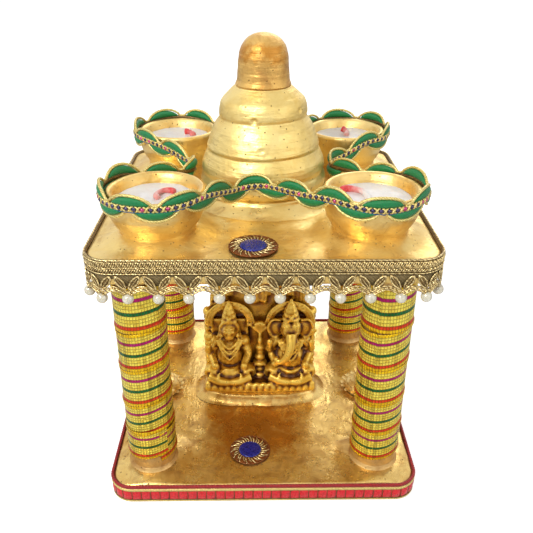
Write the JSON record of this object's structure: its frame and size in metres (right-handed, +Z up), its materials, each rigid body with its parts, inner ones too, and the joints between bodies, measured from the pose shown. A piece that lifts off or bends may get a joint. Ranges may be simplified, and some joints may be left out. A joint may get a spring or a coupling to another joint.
{
  "type": "clay home temple",
  "caption": "Gold-painted clay household shrine: open pavilion on a square base with ribbon-wrapped pillars, flat roof with stepped spire and oil lamps, and seated deities inside.",
  "frame": {"origin": "centre of the base's underside, on the surface it stands on", "axes": "+Z up, front faces -Y, +X to the viewer's right"},
  "size_m": [0.161, 0.161, 0.2197],
  "materials": {
    "gold_clay": "hand-brushed metallic gold paint on fired clay, semi-gloss, with brown tarnish",
    "antique_gold": "antique gold paint over brown, worn on the high spots",
    "striped_ribbon": "metallic gold grid ribbon with yellow, magenta, green and orange stripes",
    "red_ribbon": "red sequin squares between cream and dark-red braid",
    "gold_braid": "antique-gold metallic thread braid and leaf lace",
    "green_lace": "green silk leaves edged with gold thread, sequins along the middle",
    "pearl": "ivory pearl",
    "wax": "white candle wax",
    "wick": "white cotton dipped in red",
    "rosette": "blue glitter disc in a gold-on-brown rim"
  },
  "bodies": {
    "root": {"base_slab": "gold_clay", "base_ribbon": "red_ribbon", "pillar_front_left": "gold_clay", "pillar_front_right": "gold_clay", "pillar_back_left": "gold_clay", "pillar_back_right": "gold_clay", "wrap_front_left": "striped_ribbon", "wrap_front_right": "striped_ribbon", "wrap_back_left": "striped_ribbon", "wrap_back_right": "striped_ribbon", "roof_slab": "gold_clay", "roof_braid": "gold_braid", "roof_fringe": "gold_braid", "roof_pearls": "pearl", "spire_foot": "gold_clay", "spire_tiers": "gold_clay", "spire_knob": "gold_clay", "lamp_foot_front_left": "gold_clay", "lamp_foot_front_right": "gold_clay", "lamp_foot_back_left": "gold_clay", "lamp_foot_back_right": "gold_clay", "lamp_bowl_front_left": "gold_clay", "lamp_bowl_front_right": "gold_clay", "lamp_bowl_back_left": "gold_clay", "lamp_bowl_back_right": "gold_clay", "lamp_wax_front_left": "wax", "lamp_wax_front_right": "wax", "lamp_wax_back_left": "wax", "lamp_wax_back_right": "wax", "lamp_wick_front_left": "wick", "lamp_wick_front_right": "wick", "lamp_wick_back_left": "wick", "lamp_wick_back_right": "wick", "garland": "green_lace", "idol_ledge": "gold_clay", "idol_plaque": "antique_gold", "idol_goddess": "antique_gold", "idol_elephant_god": "antique_gold", "floor_rosette": "rosette", "roof_rosette": "rosette", "flower_left": "gold_clay", "flower_right": "gold_clay"}
  },
  "joints": []
}
